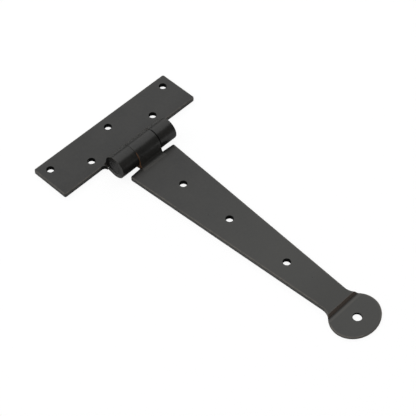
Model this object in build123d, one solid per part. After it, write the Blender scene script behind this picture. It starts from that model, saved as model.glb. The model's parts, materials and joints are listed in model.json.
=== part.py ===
from build123d import *
from math import cos, radians, sin
import os

# Tee hinge with a flattened round ("penny") strap end, in millimetres.
# The pin axis runs along Y, above the origin. The strap points along +X and the cross leaf lies
# at -X. Both leaves have their backs on z = 0. Their knuckles are rolled up over the pin, and the
# rolls' free ends lie under it.

# Sheet, pin and the clearances between the pieces
sheet_t = 3.8          # both leaves are cut from the same plate
edge_round = 0.5       # worn, painted-over edges of the cut plate
pin_r = 5.55
pin_clear = 0.05       # radial running clearance of the pin in the rolled knuckles
pin_recess = 0.4       # each end of the pin sits this far inside the barrel
pin_chamfer = 0.7
bend_r = 3.0           # hollow bend that turns the sheet up out of the leaf, on the front
leg_lean = 12.0        # degrees; lean of the straight leg between that bend and the roll
tail_rise = 13.0       # degrees; slope of the sheet's last few millimetres, straight, under the pin
seam_gap = 0.3         # between that tail and the back of its own bend
knuckle_gap = 0.3      # between neighbouring knuckles

# Barrel
barrel_len = 55.4
centre_knuckle_len = 22.2

# Cross leaf
cross_len = 136.0
cross_w = 34.6
cross_clear = 1.7      # from the barrel to the near edge of the cross leaf
cross_corner_r = 1.5
lug_root_r = 3.2       # outer corner between a knuckle's lug and the near edge
slot_corner_r = 1.2    # corners of the slot that clears the strap's knuckle
screw_hole_r = 3.0
outer_row_inset = 8.6   # far edge to the row of three holes
inner_row_inset = 10.0  # near edge to the pair of holes
end_hole_inset = 8.9    # each end of the leaf to its end hole
inner_pair_spacing = 64.4

# Strap leaf
strap_reach = 228.3    # pin axis to the tip of the strap
shoulder_clear = 1.0   # from the barrel to the shoulders, beside the knuckle
shoulder_rake = 0.8    # the shoulders fall back this much by their outer corners
shoulder_corner_r = 1.2
shoulder_root_r = 0.8  # inner corner between a shoulder and the knuckle's lug
strap_root_w = 45.4    # width across the shoulders
strap_neck_w = 22.8    # width where the penny grows out of the taper
strap_hole_pitch = (44.0, 47.2, 56.0)  # pin axis to the first hole, then hole to hole
neck_r = 10.0          # hollow curve from the taper into the penny

# Penny, hammered out thinner than the strap and a little wider than it is long
penny_half_len = 17.4
penny_half_w = 20.2
penny_t = 1.9
penny_hole_r = 3.4
penny_hole_ahead = 2.1  # from the middle of the penny towards its tip
step_behind = 12.9     # from the middle of the penny back to the top of the step
step_run = 1.8         # length of the sloping step

# Sizes that follow
bore_r = pin_r + pin_clear
knuckle_r = bore_r + sheet_t
axis_z = knuckle_r
bend_back_r = bend_r + sheet_t
bend_z = sheet_t + bend_r
bend_x = (
    knuckle_r + bend_r + (axis_z - bend_z) * sin(radians(leg_lean))
) / cos(radians(leg_lean))
outer_knuckle_len = (barrel_len - centre_knuckle_len) / 2 - knuckle_gap
outer_knuckle_y = (barrel_len - outer_knuckle_len) / 2
cross_near_x = -(knuckle_r + cross_clear)
cross_far_x = cross_near_x - cross_w
shoulder_x = knuckle_r + shoulder_clear
penny_x = strap_reach - penny_half_len
step_x = penny_x - step_behind

tiny = 0.001           # for telling whether two places are the same


def roll(length):
    """Sheet of a leaf at +X, from where it starts to bend upwards: over the pin and in under it,
    where its straight tail is pressed up against the back of the bend."""
    bend = (bend_x, bend_z)
    front = CenterArc(bend, bend_r, 270, leg_lean - 90)
    back = CenterArc(bend, bend_back_r, 270, leg_lean - 90)
    turn = 270 + tail_rise - leg_lean
    outside = CenterArc((0, axis_z), knuckle_r, leg_lean, turn)
    inside = CenterArc((0, axis_z), bore_r, leg_lean, turn)
    foot = make_face(Curve() + [
        front, Polyline(front @ 1, outside @ 0, inside @ 0, back @ 1), back, Line(back @ 0, front @ 0),
    ])
    ring = make_face(Curve() + [
        outside, Line(outside @ 1, inside @ 1), inside, Line(inside @ 0, outside @ 0),
    ])
    ends = [arc @ 1 + (arc % 1) * bend_x for arc in (outside, inside)]
    tail = make_face(Polyline(outside @ 1, *ends, inside @ 1, close=True))
    tail -= Pos(*bend) * Circle(bend_back_r + seam_gap)
    return extrude(Plane.XZ * (foot + ring + tail), length / 2, both=True)


def roll_room(length):
    """Room to either side of the pin that a roll takes up in its flat leaf."""
    return Box(2 * bend_x, length, 3 * sheet_t)


def drills(places, radius):
    """Cutters for round screw holes at (x, y) places, right through the sheet."""
    return [Pos(x, y, sheet_t / 2) * Cylinder(radius, 3 * sheet_t) for x, y in places]


def corner_at(vertices, x=None, y=None):
    """Outline corners at a distance x along the hinge, a distance y to either side, or both."""
    return [
        v for v in vertices
        if (x is None or abs(v.X - x) < tiny) and (y is None or abs(abs(v.Y) - y) < tiny)
    ]


def rim(body, levels, kept_sharp):
    """Edges of the outline at the given heights, without the lines across it at kept_sharp."""
    picked = []
    for edge in body.edges():
        box = edge.bounding_box()
        lies_flat = box.size.Z < tiny and any(abs(box.min.Z - z) < tiny for z in levels)
        crosses = box.size.X < tiny and any(abs(box.min.X - x) < tiny for x in kept_sharp)
        if lies_flat and not crosses:
            picked.append(edge)
    return picked


def cross_outline():
    """Cross leaf seen from the front: a plain rectangle with a lug for each outer knuckle."""
    plate = Pos(cross_near_x - cross_w / 2, 0) * Rectangle(cross_w, cross_len)
    plate = fillet(plate.vertices(), cross_corner_r)
    lug = Rectangle(-cross_near_x, outer_knuckle_len, align=(Align.MAX, Align.CENTER))
    leaf = plate + Pos(0, outer_knuckle_y) * lug + Pos(0, -outer_knuckle_y) * lug
    leaf = fillet(corner_at(leaf.vertices(), cross_near_x, barrel_len / 2), lug_root_r)
    slot_y = centre_knuckle_len / 2 + knuckle_gap
    return fillet(corner_at(leaf.vertices(), cross_near_x, slot_y), slot_corner_r)


def cross_leaf():
    """Cross leaf with its two rolled knuckles and five screw holes."""
    body = extrude(cross_outline(), sheet_t)
    body = fillet(rim(body, (0, sheet_t), (0,)), edge_round)
    for side in (-1, 1):
        place = Pos(0, side * outer_knuckle_y, 0)
        body -= place * roll_room(outer_knuckle_len)
        body += place * mirror(roll(outer_knuckle_len), Plane.YZ)
    end_y = cross_len / 2 - end_hole_inset
    outer_x = cross_far_x + outer_row_inset
    inner_x = cross_near_x - inner_row_inset
    inner_y = inner_pair_spacing / 2
    places = [(outer_x, -end_y), (outer_x, 0), (outer_x, end_y), (inner_x, -inner_y), (inner_x, inner_y)]
    return body - drills(places, screw_hole_r)


def strap_outline():
    """Strap seen from the front, up to the penny: lug, raked shoulders and straight taper."""
    lug_y = centre_knuckle_len / 2
    root_y = strap_root_w / 2
    neck_y = strap_neck_w / 2
    outer_x = shoulder_x + shoulder_rake
    side = [(0, lug_y), (shoulder_x, lug_y), (outer_x, root_y), (step_x, neck_y), (penny_x, neck_y)]
    other_side = [(x, -y) for x, y in reversed(side)]
    blade = make_face(Polyline(*side, *other_side, close=True))
    blade = fillet(corner_at(blade.vertices(), outer_x, root_y), shoulder_corner_r)
    return fillet(corner_at(blade.vertices(), shoulder_x, lug_y), shoulder_root_r)


def step_cut():
    """What is hammered away above the penny, with a short slope at its root."""
    above = 2 * sheet_t
    beyond = strap_reach + penny_half_len
    profile = Polyline(
        (step_x, above), (step_x, sheet_t), (step_x + step_run, penny_t),
        (beyond, penny_t), (beyond, above), close=True,
    )
    return extrude(Plane.XZ * make_face(profile), 2 * penny_half_w, both=True)


def strap_leaf():
    """Strap with its rolled centre knuckle, hollow neck and penny, and four screw holes."""
    penny = extrude(Pos(penny_x, 0) * Ellipse(penny_half_len, penny_half_w), sheet_t)
    body = extrude(strap_outline(), sheet_t) + penny
    corners = [e for e in body.edges() if e.bounding_box().size.Z > tiny]
    body = fillet([e for e in corners if step_x - neck_r < e.center().X < penny_x], neck_r)
    body -= step_cut()
    body = fillet(rim(body, (0, sheet_t, penny_t), (0, step_x, step_x + step_run)), edge_round)
    body -= roll_room(centre_knuckle_len)
    body += roll(centre_knuckle_len)
    places = [(sum(strap_hole_pitch[: i + 1]), 0) for i in range(len(strap_hole_pitch))]
    body -= drills(places, screw_hole_r)
    return body - drills([(penny_x + penny_hole_ahead, 0)], penny_hole_r)


def hinge_pin():
    """Plain pin, chamfered at both ends and a little short of the barrel's faces."""
    pin = Cylinder(pin_r, barrel_len - 2 * pin_recess, rotation=(90, 0, 0))
    pin = chamfer(pin.edges().filter_by(GeomType.CIRCLE), pin_chamfer)
    return Pos(0, 0, axis_z) * pin


if __name__ == "__main__":
    os.makedirs("parts", exist_ok=True)
    export_step(cross_leaf(), "parts/cross_leaf.step")
    export_step(strap_leaf(), "parts/strap_leaf.step")
    export_step(hinge_pin(), "parts/hinge_pin.step")
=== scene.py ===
"""Finish and stage of a black tee hinge.

The leaves and the pin get a satin black coat with its wear and with painted light and shade: lighter
rims and edges, partly rubbed and partly painted highlight, a painted highlight line on the barrel's
shoulder, painted shade in holes, seams, bends and on the end faces, painted light at the strap's root,
a brown step above the penny and a rusty knuckle end.
A bead of coat closes the groove round each end of the pin. The stage is a floor that the camera sees
through, one long lamp, the surroundings and the camera."""
import json
import math

import bpy
import numpy as np
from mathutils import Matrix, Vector


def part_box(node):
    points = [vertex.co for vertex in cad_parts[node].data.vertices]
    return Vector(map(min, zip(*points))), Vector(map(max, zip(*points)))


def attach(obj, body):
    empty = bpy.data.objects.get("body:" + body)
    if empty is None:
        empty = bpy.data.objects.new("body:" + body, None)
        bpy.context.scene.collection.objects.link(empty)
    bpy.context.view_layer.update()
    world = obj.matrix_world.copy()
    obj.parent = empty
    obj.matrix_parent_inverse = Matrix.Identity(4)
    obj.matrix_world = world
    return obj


bl_info = {
    "name": "Tee hinge finish",
    "version": (1, 0, 0),
    "blender": (4, 5, 0),
    "location": "3D View > Sidebar > Hinge",
    "description": "Coats the leaves and pin of a tee hinge and sets its stage",
    "category": "Material",
}

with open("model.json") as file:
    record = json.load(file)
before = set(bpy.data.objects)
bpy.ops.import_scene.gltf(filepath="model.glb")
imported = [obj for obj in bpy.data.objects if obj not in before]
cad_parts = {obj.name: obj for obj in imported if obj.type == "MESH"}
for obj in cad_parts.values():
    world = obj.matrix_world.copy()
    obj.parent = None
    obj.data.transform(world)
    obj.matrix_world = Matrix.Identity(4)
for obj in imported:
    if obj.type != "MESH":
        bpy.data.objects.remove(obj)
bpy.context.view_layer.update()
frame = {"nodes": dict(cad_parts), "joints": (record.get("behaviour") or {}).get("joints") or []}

MM = 0.001


def linear(red, green, blue):
    """Linear colour of a screen colour written as 0 to 255, with no part under 11."""
    return tuple(((c / 255 + 0.055) / 1.055) ** 2.4 for c in (red, green, blue))


def grey(level):
    """Linear colour with the same level in red, green and blue."""
    return (level, level, level)


# Sizes in millimetres, as in the frame: the pin's axis runs along Y and the strap points along +X
cross_low, cross_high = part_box("cross_leaf")
axis_z = frame["joints"][0]["pos_m"][2] / MM
barrel_r = cross_high.x / MM
cross_far_x = cross_low.x / MM
cross_half = cross_high.y / MM
cross_near_x = -11.1
pin_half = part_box("hinge_pin")[1].y / MM
pin_recess = 0.4
barrel_half = pin_half + pin_recess
centre_half = 11.1
knuckle_gap = 0.3
sheet_t = 3.8
bend_reach = 13.2
lug_root_half = barrel_half + 3.0
shoulder_x = 10.4
root_half = 22.7
neck_half = 11.4
step_top = 198.0
step_foot = 199.8
penny_x = 210.9
penny_half_len = 17.4
penny_half_w = 20.2
screw_hole_r = 3.0
penny_hole_r = 3.4
cross_holes = ((-37.1, -59.1), (-37.1, 0), (-37.1, 59.1), (-21.1, -32.2), (-21.1, 32.2))
strap_holes = ((44.0, 0), (91.2, 0), (147.2, 0))
penny_holes = ((213.0, 0),)

# Section of the bead in millimetres: distance from the pin's axis, and reach past the pin's end
bead_section = (
    (4.60, -0.02), (4.80, 0.03), (5.05, 0.08), (5.30, 0.17), (5.50, 0.29),
    (5.62, 0.39), (5.62, -0.30), (5.30, -0.45), (5.00, -0.30), (4.70, -0.06))
bead_sides = 96

# Marks along X in millimetres, of wear and of painted light and shade: from where to where, or where a
# change begins and is complete
cross_bend = (-13.3, -9.0)
strap_bend = (11.0, 12.2)
seam_stretch = (-1.0, 8.8)
root_highlight_stretch = (13.2, 14.6)
root_fades = (24.0, bend_reach)
near_root = (60.0, 24.0)
greying = (30.0, 130.0)
edges_wear = (60.0, 200.0)
dulling = (165.0, 185.0)
dull_ends = (198.0, 197.0)

# Noises as feature size in millimetres, detail and seed
cloud_noise = (16.0, 3.0, 0.0)
mottle_noise = (2.2, 2.0, 3.0)
dent_noise = (9.0, 1.0, 11.0)
patch_noise = (3.5, 3.0, 21.0)
grain_detail = 3.0
grain_seed = 5.0

# Lesser tones of the coat, its painted light at the knuckle's foot and the strap's root, and how strong
# its painted shade, uneven gloss and relief are
cloud_tone = linear(58, 56, 52)
mottle_tone = linear(64, 64, 61)
# Painted light: the hollow, root and root line tones lighten the shaded foot of the strap's knuckle and the
# strap's root, and paint a highlight along the strap's bend.
hollow_light_tone = linear(58, 57, 54)
root_light_tone = linear(54, 53, 50)
root_highlight_tone = linear(84, 82, 78)
# Matt black paints shade; the hole value is how strongly it paints shade on the hole walls.
matt_black = grey(0.0015)
hole_shade = 0.93
uneven_gloss = 0.12
grain_height = 0.05
dent_height = 0.3
ring_height = 0.06

# Radians of the turned rings' wave for each millimetre of radius
ring_phase = 3.6

# The stage in metres, the shades of its floor and the light around it
floor_size = 3.0
floor_level = -0.0003
touch_gap = 0.0006
paper_shade = 0.85
veil_shade = 0.12
veil_clear = 0.91
light_around = 0.15
light_from_below = 0.6
lamp_away = 2.5
lamp_width = 4.5
lamp_length = 9.0


class CoatSettings(bpy.types.PropertyGroup):
    """Colours and scales of the satin black coat, of its wear and of its painted highlights."""

    coat: bpy.props.FloatVectorProperty(
        name="Coat", description="Body colour of the black coat",
        subtype="COLOR", size=3, min=0, max=1, default=linear(22, 22, 20))
    # Lighter body colour towards the penny end of the strap.
    penny_end_coat: bpy.props.FloatVectorProperty(
        name="Handled coat", description="Body colour towards the end of the strap, where it is handled",
        subtype="COLOR", size=3, min=0, max=1, default=linear(46, 46, 43))
    # Lighter rims and edges: partly rubbed coat, partly painted highlight; also a painted light line on the
    # penny.
    worn_and_highlight: bpy.props.FloatVectorProperty(
        name="Worn edge", description="Colour where the coat is rubbed thin along the edges",
        subtype="COLOR", size=3, min=0, max=1, default=linear(104, 98, 90))
    # Painted highlight in a line along the barrel's shoulder.
    crown_highlight_tone: bpy.props.FloatVectorProperty(
        name="Rubbed line", description="Colour of the thin line along the barrel's shoulder",
        subtype="COLOR", size=3, min=0, max=1, default=linear(132, 124, 112))
    brown: bpy.props.FloatVectorProperty(
        name="Brown", description="Colour of the worn knuckle ends",
        subtype="COLOR", size=3, min=0, max=1, default=linear(66, 56, 48))
    step: bpy.props.FloatVectorProperty(
        name="Step", description="Colour of the slope above the penny",
        subtype="COLOR", size=3, min=0, max=1, default=linear(75, 65, 58))
    rust: bpy.props.FloatVectorProperty(
        name="Rust", description="Colour of the centre knuckle's bare end edge",
        subtype="COLOR", size=3, min=0, max=1, default=linear(128, 88, 58))
    roughness: bpy.props.FloatProperty(
        name="Roughness", description="Roughness of the unworn coat",
        subtype="FACTOR", min=0, max=1, default=0.32)
    grain: bpy.props.FloatProperty(
        name="Grain", description="Size of the coat's fine grain, in millimetres",
        min=0.1, max=5, default=0.7)


class StageSettings(bpy.types.PropertyGroup):
    """Camera and lamp."""

    azimuth: bpy.props.FloatProperty(
        name="Azimuth", description="Direction of the camera, from -Y towards +X",
        subtype="ANGLE", default=math.radians(44.05))
    elevation: bpy.props.FloatProperty(
        name="Elevation", description="Height of the camera above the horizon",
        subtype="ANGLE", default=math.radians(51.53))
    distance: bpy.props.FloatProperty(
        name="Distance", description="From the camera to what it aims at",
        subtype="DISTANCE", unit="LENGTH", default=1.0615)
    target: bpy.props.FloatVectorProperty(
        name="Target", description="Point on the back plane that the camera aims at",
        subtype="TRANSLATION", unit="LENGTH", size=3, default=(0.071, -0.00164, 0.0))
    lens: bpy.props.FloatProperty(
        name="Lens", description="Focal length on a 36 mm sensor",
        subtype="DISTANCE_CAMERA", default=125.2)
    lamp_lean: bpy.props.FloatProperty(
        name="Lamp lean", description="Angle of the lamp from overhead towards -X",
        subtype="ANGLE", default=math.radians(23))
    lamp_radiance: bpy.props.FloatProperty(
        name="Lamp radiance", description="Brightness of the lamp's face, where 1 is white",
        min=0, default=1.12)


class Sock:
    """A shader number. Arithmetic on it adds Math nodes."""

    def __init__(self, net, out):
        self.net = net
        self.out = out

    def math(self, operation, *others, clamp=False):
        settings = {"operation": operation, "use_clamp": clamp}
        sockets = dict(enumerate((self, *others)))
        return self.net.add("ShaderNodeMath", settings, sockets)["Value"]

    def __add__(self, other):
        return self.math("ADD", other)

    __radd__ = __add__

    def __sub__(self, other):
        return self.math("SUBTRACT", other)

    def __rsub__(self, other):
        return self.math("MULTIPLY_ADD", -1.0, other)

    def __mul__(self, other):
        return self.math("MULTIPLY", other)

    __rmul__ = __mul__

    def __truediv__(self, other):
        return self.math("DIVIDE", other)

    def __neg__(self):
        return self * -1.0

    def __abs__(self):
        return self.math("ABSOLUTE")

    def __pow__(self, other):
        return self.math("POWER", other)

    def ramp(self, start, end):
        """0 at start, 1 at end, straight between and held outside. Start may be the larger."""
        return self.math("MULTIPLY_ADD", 1 / (end - start), -start / (end - start), clamp=True)


class Net:
    """A node tree with one method that adds any node."""

    def __init__(self, tree):
        self.tree = tree
        tree.nodes.clear()

    def add(self, kind, settings=None, sockets=None):
        """Adds a node, sets it, feeds its sockets, and gives its outputs by name and by number."""
        node = self.tree.nodes.new(kind)
        for name, value in (settings or {}).items():
            setattr(node, name, value)
        for name, value in (sockets or {}).items():
            self.feed(node.inputs[name], value)
        outputs = [Sock(self, out) for out in node.outputs]
        return {sock.out.name: sock for sock in outputs} | dict(enumerate(outputs))

    def feed(self, socket, value):
        """Links a socket to a shader value, or sets it to a plain number or colour."""
        if isinstance(value, Sock):
            self.tree.links.new(value.out, socket)
        elif socket.type == "RGBA":
            socket.default_value = (*value, 1.0)
        else:
            socket.default_value = value

    def mix(self, factor, first, second):
        """Colour that goes from first to second with factor."""
        return self.add("ShaderNodeMix", {"data_type": "RGBA"}, {0: factor, 6: first, 7: second})[2]

    def blend(self, factor, first, second):
        """Shader that goes from first to second with factor."""
        return self.add("ShaderNodeMixShader", sockets={0: factor, 1: first, 2: second})["Shader"]

    def noise(self, place, size, detail, seed):
        """Soft noise from 0 to 1 whose features are about size apart, in the units of place."""
        moved = self.add("ShaderNodeVectorMath", {"operation": "ADD"}, {0: place, 1: (seed, seed, seed)})
        sockets = {"Vector": moved["Vector"], "Scale": 1 / size, "Detail": detail}
        return self.add("ShaderNodeTexNoise", sockets=sockets)["Fac"]


def new_material(name):
    """Material with no nodes yet, and the net that fills it."""
    material = bpy.data.materials.new(name)
    material.use_nodes = True
    return material, Net(material.node_tree)


def surface(net):
    """Place in millimetres and outward direction, both in the piece's own space."""
    spots = net.add("ShaderNodeTexCoord")
    sockets = {0: spots["Object"], "Scale": 1 / MM}
    place = net.add("ShaderNodeVectorMath", {"operation": "SCALE"}, sockets)["Vector"]
    axes = net.add("ShaderNodeSeparateXYZ", sockets={0: place})
    facing = net.add("ShaderNodeSeparateXYZ", sockets={0: spots["Normal"]})
    return place, axes["X"], axes["Y"], axes["Z"], facing


def largest(*values):
    """The largest of several values at each spot."""
    most = values[0]
    for value in values[1:]:
        most = most.math("MAXIMUM", value)
    return most


def length(one, other):
    """Length of the line that goes one and other along two axes."""
    return (one * one + other * other) ** 0.5


def between(value, low, high, soft):
    """1 from low to high, falling to 0 over soft on either side."""
    return value.ramp(low - soft, low) * value.ramp(high + soft, high)


def hole_walls(x, y, places, radius):
    """1 on the walls of round holes at the given places."""
    return largest(*(
        length(x - hole_x, y - hole_y).ramp(radius + 0.1, radius + 0.02) for hole_x, hole_y in places))


def rounded_rim(z, facing):
    """1 on the rounded rims of the flat leaf, which face between sideways and up or down."""
    up = facing["Z"] * facing["Z"]
    return (up * (1 - up) * 4.0).ramp(0.1, 0.6) * z.ramp(sheet_t + 0.1, sheet_t)


def front_edge(to_edge, facing):
    """1 on the leaf's front in a narrow band along its edge."""
    return to_edge.ramp(1.3, 0.3) * facing["Z"].ramp(0.5, 0.9)


def knuckle_skin(radius, rolled):
    """1 on the round outside of the knuckles."""
    return radius.ramp(barrel_r - 0.3, barrel_r - 0.05) * rolled


def crown_shade_mask(x, z, radius, skin):
    """Painted shade beside the painted highlight line of the knuckles."""
    return between(-x / radius, 0.52, 0.7, 0.08) * z.ramp(axis_z, axis_z + 2.0) * skin


def crown_highlight_mask(x, z, radius, skin):
    """1 in a narrow line on the knuckles' shoulder above the cross leaf, where a highlight is painted."""
    return between(-x / radius, 0.82, 0.88, 0.1) * z.ramp(axis_z + 1.0, axis_z + 3.0) * skin


def knuckle_foot_shade(x, z, skin):
    """1 low on the knuckles' side above the strap, where shade is painted."""
    return x.ramp(7.0, 9.0) * z.ramp(axis_z + 4.5, axis_z) * skin


def end_painted_shade(x, z, facing):
    """Painted shade on the barrel's end faces, darkest towards the cross leaf."""
    return (z.ramp(3.5, 6.5) * 0.4 + x.ramp(-4.0, -7.0) * 0.5) * abs(facing["Y"]).ramp(0.6, 0.9)


def turned_rings(radius, facing):
    """Faint turning rings on the end faces of the barrel, as a height that is a sine of the radius."""
    return (radius * ring_phase).math("SINE") * abs(facing["Y"]).ramp(0.9, 0.99) * ring_height


def finish_coat(net, settings, place, coat, layers, matt_and_painted_shade, rings=0.0):
    """Satin coat with cloudy tone and fine grain, in layers of (mask, colour, roughness).

    The mask after the layers says where a matt black coat paints shade, as in holes and seams, and where it
    makes the coat duller."""
    cloud = net.noise(place, *cloud_noise)
    mottle = net.noise(place, *mottle_noise)
    tone = net.mix(cloud.ramp(0.35, 0.65) * 0.22, coat, cloud_tone)
    tone = net.mix(mottle.ramp(0.4, 0.65) * 0.1, tone, mottle_tone)
    roughness = settings.roughness + (cloud + mottle - 1.0) * uneven_gloss
    for mask, colour, layer_roughness in layers:
        tone = net.mix(mask, tone, colour)
        roughness = roughness * (1 - mask) + mask * layer_roughness
    grain = net.noise(place, settings.grain, grain_detail, grain_seed)
    dents = net.noise(place, *dent_noise)
    height = grain * grain_height + dents * dent_height + rings
    bump = net.add("ShaderNodeBump", sockets={"Strength": 0.35, "Distance": MM, "Height": height})
    satin = net.add("ShaderNodeBsdfPrincipled", sockets={
        "Base Color": tone,
        "Roughness": roughness,
        "Normal": bump["Normal"],
    })
    matt = net.add("ShaderNodeBsdfPrincipled", sockets={
        "Base Color": matt_black,
        "Roughness": 0.8,
        "Specular IOR Level": 0.08,
    })
    # Matt black coat where shade is painted.
    both = net.blend(matt_and_painted_shade, satin["BSDF"], matt["BSDF"])
    net.add("ShaderNodeOutputMaterial", sockets={"Surface": both})


def cross_material(settings):
    """Coat of the cross leaf: lighter rims, partly worn and partly painted highlight, a painted highlight on
    the knuckles' crown, painted shade in holes, bends, seam and end faces.
    """
    material, net = new_material("cross_leaf_coat")
    place, x, y, z, facing = surface(net)
    radius = length(x, z - axis_z)
    patchy = net.noise(place, *patch_noise).ramp(0.32, 0.6)
    across = abs(y)
    rolled = between(across, centre_half + knuckle_gap, barrel_half, 0.05)
    rolled = rolled * abs(x).ramp(bend_reach + 0.2, bend_reach)
    skin = knuckle_skin(radius, rolled)

    half_w = (cross_near_x - cross_far_x) / 2
    to_side = half_w - abs(x - (cross_far_x + half_w))
    to_edge = to_side.math("MINIMUM", cross_half - across)
    lug_mouth = x.ramp(cross_near_x - 3.0, cross_near_x - 2.0)
    lug_mouth = lug_mouth * between(across, centre_half, lug_root_half, 0.5)
    near_lug = x.ramp(cross_near_x - 4.5, cross_near_x - 3.5)
    near_lug = near_lug * across.ramp(lug_root_half + 2.0, lug_root_half)
    # Lighter edges and rims: partly rubbed coat, partly painted highlight.
    edge = front_edge(to_edge, facing) * (1 - lug_mouth)
    rim = rounded_rim(z, facing) * (1 - rolled) * (1 - near_lug)
    # Painted highlight along the knuckles' shoulder.
    crown_highlight = crown_highlight_mask(x, z, radius, skin)
    # Lighter outer rim of the barrel's ends, partly rubbed and partly painted highlight; brown low down
    # where it is worn.
    outer_rim = (barrel_half - across).ramp(0.5, 0.05) * radius.ramp(barrel_r - 0.7, barrel_r - 0.2) * rolled
    layers = [
        (edge * (patchy * 0.3 + 0.08), settings.worn_and_highlight, 0.4),
        (rim * (patchy * 0.4 + 0.5), settings.worn_and_highlight, 0.42),
        (crown_highlight * (patchy * 0.3 + 0.5), settings.crown_highlight_tone, 0.38),
        (outer_rim * (z.ramp(9.0, 4.0) * 0.5 + 0.15), settings.worn_and_highlight, 0.45),
        (outer_rim * z.ramp(2.5, 0.8) * 0.7, settings.brown, 0.5),
    ]

    # Painted shade in the seam between the knuckles.
    seam_shade = (across - centre_half - knuckle_gap).ramp(0.9, 0.5) * skin
    seam_shade = seam_shade * between(x, *seam_stretch, 1.5) * y.ramp(-1.0, 1.0)
    # Painted shade in the crease where the cross leaf bends up into its knuckles.
    bend_shade = between(x, *cross_bend, 0.3) * z.ramp(sheet_t - 0.2, sheet_t + 0.2) * z.ramp(10.0, 9.0)
    # Painted shade on the plate's side wall beside the lug root.
    root_wall_shade = near_lug * abs(facing["Z"]).ramp(0.9, 0.6) * (1 - rolled)
    # Matt black that paints shade in holes, seam, crease, wall, knuckles' foot, beside the highlight and on
    # end faces.
    matt_and_painted_shade = largest(
        hole_walls(x, y, cross_holes, screw_hole_r) * hole_shade,
        seam_shade * 0.9,
        knuckle_foot_shade(x, z, skin) * 0.5,
        crown_shade_mask(x, z, radius, skin) * 0.15,
        bend_shade * (1 - skin) * rolled * 0.9,
        root_wall_shade * 0.85,
        end_painted_shade(x, z, facing) * rolled,
        # Painted shade: the whole cross leaf a little darker, more so towards its knuckles.
        x.ramp(cross_near_x - 9.0, cross_near_x - 4.0) * 0.04 + 0.05,
    )
    finish_coat(net, settings, place, settings.coat, layers, matt_and_painted_shade, turned_rings(radius, facing))
    return material


def strap_material(settings):
    """Coat of the strap: greyer towards the penny, brown step, rusty end of the centre knuckle, painted
    light at the knuckle's foot and the strap's root, and painted shade in holes, the bend and past the step.
    """
    material, net = new_material("strap_leaf_coat")
    place, x, y, z, facing = surface(net)
    radius = length(x, z - axis_z)
    patchy = net.noise(place, *patch_noise).ramp(0.32, 0.6)
    across = abs(y)
    plus_y = y.ramp(-1.0, 1.0)
    front = facing["Z"].ramp(0.9, 0.98)
    rolled = across.ramp(centre_half + 0.05, centre_half) * x.ramp(bend_reach + 0.2, bend_reach)
    skin = knuckle_skin(radius, rolled)

    taper = (neck_half - root_half) / (step_top - shoulder_x)
    to_taper = (x - shoulder_x) * taper + root_half - across
    to_penny = (1 - length((x - penny_x) / penny_half_len, y / penny_half_w)) * penny_half_len
    to_edge = largest(to_taper, to_penny)
    # Lighter edges and rims: partly rubbed coat, partly painted highlight.
    edge = front_edge(to_edge, facing) * x.ramp(shoulder_x, shoulder_x + 1.0)
    edge = edge * (1 - between(x, step_top - 10.0, step_top + 6.0, 1.0))
    rim = rounded_rim(z, facing) * (1 - rolled)
    # Painted highlight along the knuckle's shoulder.
    crown_highlight = crown_highlight_mask(x, z, radius, skin)
    ends = (centre_half - across).ramp(0.75, 0.3)
    rust = ends * (1 - plus_y) * x.ramp(5.2, 6.4) * x.ramp(12.0, 11.0) * rolled
    dry = ends * plus_y * x.ramp(-2.0, -4.0) * skin
    # Painted light: lightens the shaded foot of the knuckle above the strap.
    hollow_light = rolled * x.ramp(8.6, 9.4) * x.ramp(12.8, 12.3) * z.ramp(3.0, 3.6)
    # Painted light: lightens the strap's root where the barrel's shade falls.
    root_light = x.ramp(*root_fades) * x.ramp(bend_reach - 0.4, bend_reach) * front
    # Painted highlight in a line along the strap's bend.
    root_highlight = between(x, *root_highlight_stretch, 0.6) * facing["Z"].ramp(0.5, 0.8)
    root_highlight = root_highlight * across.ramp(centre_half + 1.0, centre_half)
    step = between(x, step_top, step_foot, 0.5) * facing["Z"].ramp(0.1, 0.4)
    # Painted light line on the penny just past the step.
    lip_highlight = between(x, step_foot + 1.7, step_foot + 2.7, 0.5) * front
    layers = [
        (hollow_light * 0.8, hollow_light_tone, 0.5),
        (root_light * 0.6, root_light_tone, 0.34),
        (root_highlight * 0.5, root_highlight_tone, 0.36),
        (lip_highlight * 0.18, settings.worn_and_highlight, 0.34),
        (edge * (patchy * 0.35 + x.ramp(*edges_wear) * 0.25 + 0.08), settings.worn_and_highlight, 0.4),
        (rim * (patchy * 0.4 + 0.5), settings.worn_and_highlight, 0.42),
        (crown_highlight * (patchy * 0.3 + 0.5), settings.crown_highlight_tone, 0.38),
        (rust * (patchy * 0.5 + 0.5), settings.rust, 0.6),
        (dry * (patchy * 0.4 + 0.4), settings.brown, 0.5),
        (step * (patchy * 0.2 + 0.75), settings.step, 0.55),
    ]

    # Painted shade in the bend of the strap's knuckle.
    bend_shade = between(x, *strap_bend, 0.6) * rolled * z.ramp(sheet_t + 3.5, sheet_t + 2.5)
    step_shade = between(x, step_foot - 0.1, step_foot + 0.7, 0.4) * facing["Z"].ramp(0.3, 0.6)
    # Matt black that paints shade in holes, the bend, beside the highlight, past the step and at the
    # knuckle's foot.
    matt_and_painted_shade = largest(
        hole_walls(x, y, strap_holes, screw_hole_r) * hole_shade,
        hole_walls(x, y, penny_holes, penny_hole_r) * hole_shade,
        bend_shade * 0.45,
        crown_shade_mask(x, z, radius, skin) * 0.3,
        step_shade * 0.5,
        knuckle_foot_shade(x, z, skin) * 0.15,
        # A darker, more matt coat towards the root and before the step.
        x.ramp(*dulling) * x.ramp(*dull_ends) * 0.08 + x.ramp(*near_root) * 0.05,
    )
    coat = net.mix(x.ramp(*greying), settings.coat, settings.penny_end_coat)
    finish_coat(net, settings, place, coat, layers, matt_and_painted_shade)
    return material


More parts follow.
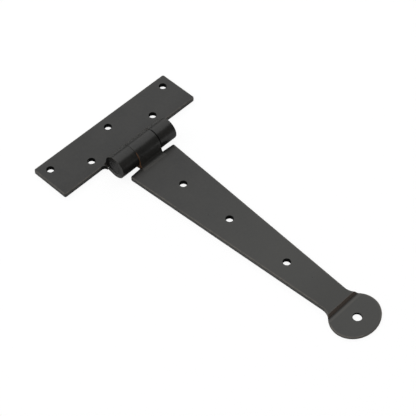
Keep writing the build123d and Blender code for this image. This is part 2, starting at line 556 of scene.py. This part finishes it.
def pin_material(settings):
    """Coat of the pin and of the beads around it, with a painted dark crescent of shade and painted shade on
    the end faces.
    """
    material, net = new_material("hinge_pin_coat")
    place, x, y, z, facing = surface(net)
    radius = length(x, z - axis_z)
    # Painted shade in a dark crescent round the pin's end on its +X side.
    crescent_shade = between(radius, 3.8, 4.5, 0.25) * x.ramp(2.4, 3.6)
    matt_and_painted_shade = largest(crescent_shade * 0.75, end_painted_shade(x, z, facing))
    finish_coat(net, settings, place, settings.coat, [], matt_and_painted_shade, turned_rings(radius, facing))
    return material


def new_object(name, data):
    """Object with the given data, in the scene."""
    made = bpy.data.objects.new(name, data)
    bpy.context.scene.collection.objects.link(made)
    return made


def bead(name, side):
    """Coat that bridges the pin's end and the knuckle: a closed section turned round the pin.

    A point is radius times the sine and cosine of the angle in X and Z, and the reach along Y. The open
    face rises from the pin's end to the barrel's end as radius grows, like a fillet."""
    section = np.array(bead_section)
    turn = np.linspace(0, 2 * math.pi, bead_sides, endpoint=False)
    radius, angle = np.meshgrid(section[:, 0], turn, indexing="ij")
    reach = np.broadcast_to(section[:, 1:2] + pin_half, radius.shape)
    points = np.stack((radius * np.sin(angle), side * reach, axis_z + radius * np.cos(angle)), axis=-1)
    rows, columns = radius.shape
    row, column = (part.ravel() for part in np.meshgrid(np.arange(rows), np.arange(columns), indexing="ij"))
    after_row = (row + 1) % rows
    after_column = (column + 1) % columns
    corners = [row * columns + column, after_row * columns + column,
               after_row * columns + after_column, row * columns + after_column]
    faces = np.stack(corners if side > 0 else corners[::-1], axis=-1)
    mesh = bpy.data.meshes.new(name)
    mesh.from_pydata((points.reshape(-1, 3) * MM).tolist(), [], faces.tolist())
    mesh.shade_smooth()
    ring = new_object(name, mesh)
    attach(ring, "cross")
    return ring


def coat_node(node_name, material):
    """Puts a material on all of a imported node."""
    mesh = frame["nodes"][node_name].data
    mesh.materials.clear()
    mesh.materials.append(material)


class HINGE_OT_leaves(bpy.types.Operator):
    """Coat the cross leaf and the strap leaf."""

    bl_idname = "hinge.leaves"
    bl_label = "Coat the leaves"

    def execute(self, context):
        settings = context.scene.hinge_coat
        coat_node("cross_leaf", cross_material(settings))
        coat_node("strap_leaf", strap_material(settings))
        return {"FINISHED"}


class HINGE_OT_pin(bpy.types.Operator):
    """Coat the hinge pin and lay a bead of coat round each of its ends."""

    bl_idname = "hinge.pin"
    bl_label = "Coat the pin"

    def execute(self, context):
        coat = pin_material(context.scene.hinge_coat)
        coat_node("hinge_pin", coat)
        for name, side in (("coat_bead_left", -1), ("coat_bead_right", 1)):
            bead(name, side).data.materials.append(coat)
        return {"FINISHED"}


def sheet(name, size, level):
    """Flat square sheet: x and y run over a grid, z stays at level."""
    line = np.array((-size / 2, size / 2))
    x, y = np.meshgrid(line, line, indexing="ij")
    points = np.stack((x, y, np.full_like(x, level)), axis=-1).reshape(-1, 3)
    mesh = bpy.data.meshes.new(name)
    mesh.from_pydata(points.tolist(), [], [(0, 2, 3, 1)])
    return new_object(name, mesh)


def floor_material():
    """Pale paper to the hinge, and to the camera a clear veil that keeps a faint shadow.

    Shadow rays, and rays that leave a surface almost touching the paper, pass through it."""
    material, net = new_material("floor_paper")
    path = net.add("ShaderNodeLightPath")
    paper = net.add("ShaderNodeBsdfDiffuse", sockets={"Color": grey(paper_shade)})
    clear = net.add("ShaderNodeBsdfTransparent", sockets={"Color": grey(1.0)})
    touching = path["Ray Length"].math("LESS_THAN", touch_gap)
    unseen = net.blend(largest(path["Is Shadow Ray"], touching), paper["BSDF"], clear["BSDF"])
    faint = net.add("ShaderNodeBsdfDiffuse", sockets={"Color": grey(veil_shade)})
    glass = net.add("ShaderNodeBsdfTransparent", sockets={"Color": grey(veil_clear)})
    seen = net.add("ShaderNodeAddShader", sockets={0: faint["BSDF"], 1: glass["BSDF"]})["Shader"]
    both = net.blend(path["Is Camera Ray"], unseen, seen)
    net.add("ShaderNodeOutputMaterial", sockets={"Surface": both})
    return material


def surroundings():
    """World that is white to the camera, and to the hinge dim above the horizon and lighter below."""
    world = bpy.data.worlds.new("surroundings")
    world.use_nodes = True
    net = Net(world.node_tree)
    direction = net.add("ShaderNodeTexCoord")["Generated"]
    below = net.add("ShaderNodeSeparateXYZ", sockets={0: direction})["Z"].math("LESS_THAN", 0.0)
    strength = below * light_from_below + light_around
    light = net.add("ShaderNodeBackground", sockets={"Color": grey(1.0), "Strength": strength})
    white = net.add("ShaderNodeBackground", sockets={"Color": grey(1.0), "Strength": 1.0})
    seen = net.add("ShaderNodeLightPath")["Is Camera Ray"]
    both = net.blend(seen, light["Background"], white["Background"])
    net.add("ShaderNodeOutputWorld", sockets={"Surface": both})
    return world


def strip_lamp(name, lean, radiance):
    """Long soft lamp along the barrel's direction, leaning from overhead towards -X by an angle."""
    lamp = bpy.data.lights.new(name, "AREA")
    lamp.shape = "RECTANGLE"
    lamp.size = lamp_width
    lamp.size_y = lamp_length
    lamp.energy = radiance * math.pi * lamp_width * lamp_length
    holder = new_object(name, lamp)
    holder.location = (-lamp_away * math.sin(lean), 0, lamp_away * math.cos(lean))
    holder.rotation_euler = (0, -lean, 0)


def aimed_camera(settings):
    """Camera at a distance from its target, in the direction of azimuth and elevation."""
    level = math.cos(settings.elevation)
    back = Vector((
        math.sin(settings.azimuth) * level,
        -math.cos(settings.azimuth) * level,
        math.sin(settings.elevation),
    ))
    camera = bpy.data.cameras.new("camera")
    camera.sensor_width = 36
    camera.lens = settings.lens
    holder = new_object("camera", camera)
    holder.location = Vector(settings.target) + back * settings.distance
    holder.rotation_euler = (-back).to_track_quat("-Z", "Y").to_euler()
    return holder


class HINGE_OT_stage(bpy.types.Operator):
    """Set the floor, the lamp, the surroundings and the camera."""

    bl_idname = "hinge.stage"
    bl_label = "Set the stage"

    def execute(self, context):
        scene = context.scene
        settings = scene.hinge_stage
        floor = sheet("floor", floor_size, floor_level)
        floor.data.materials.append(floor_material())
        scene.world = surroundings()
        strip_lamp("strip_lamp", settings.lamp_lean, settings.lamp_radiance)
        scene.camera = aimed_camera(settings)
        scene.view_settings.view_transform = "Standard"
        return {"FINISHED"}


class HINGE_PT_finish(bpy.types.Panel):
    """Sidebar list of the hinge's steps and settings."""

    bl_label = "Tee hinge"
    bl_space_type = "VIEW_3D"
    bl_region_type = "UI"
    bl_category = "Hinge"

    def draw(self, context):
        layout = self.layout
        for group in (context.scene.hinge_coat, context.scene.hinge_stage):
            for name in group.__annotations__:
                layout.prop(group, name)
        for operator in (HINGE_OT_leaves, HINGE_OT_pin, HINGE_OT_stage):
            layout.operator(operator.bl_idname)


classes = (CoatSettings, StageSettings, HINGE_OT_leaves, HINGE_OT_pin, HINGE_OT_stage, HINGE_PT_finish)


def register():
    for cls in classes:
        bpy.utils.register_class(cls)
    bpy.types.Scene.hinge_coat = bpy.props.PointerProperty(type=CoatSettings)
    bpy.types.Scene.hinge_stage = bpy.props.PointerProperty(type=StageSettings)


def unregister():
    del bpy.types.Scene.hinge_stage
    del bpy.types.Scene.hinge_coat
    for cls in reversed(classes):
        bpy.utils.unregister_class(cls)


def main():
    register()
    bpy.ops.hinge.leaves()
    bpy.ops.hinge.pin()
    bpy.ops.hinge.stage()


if __name__ == "__main__":
    main()
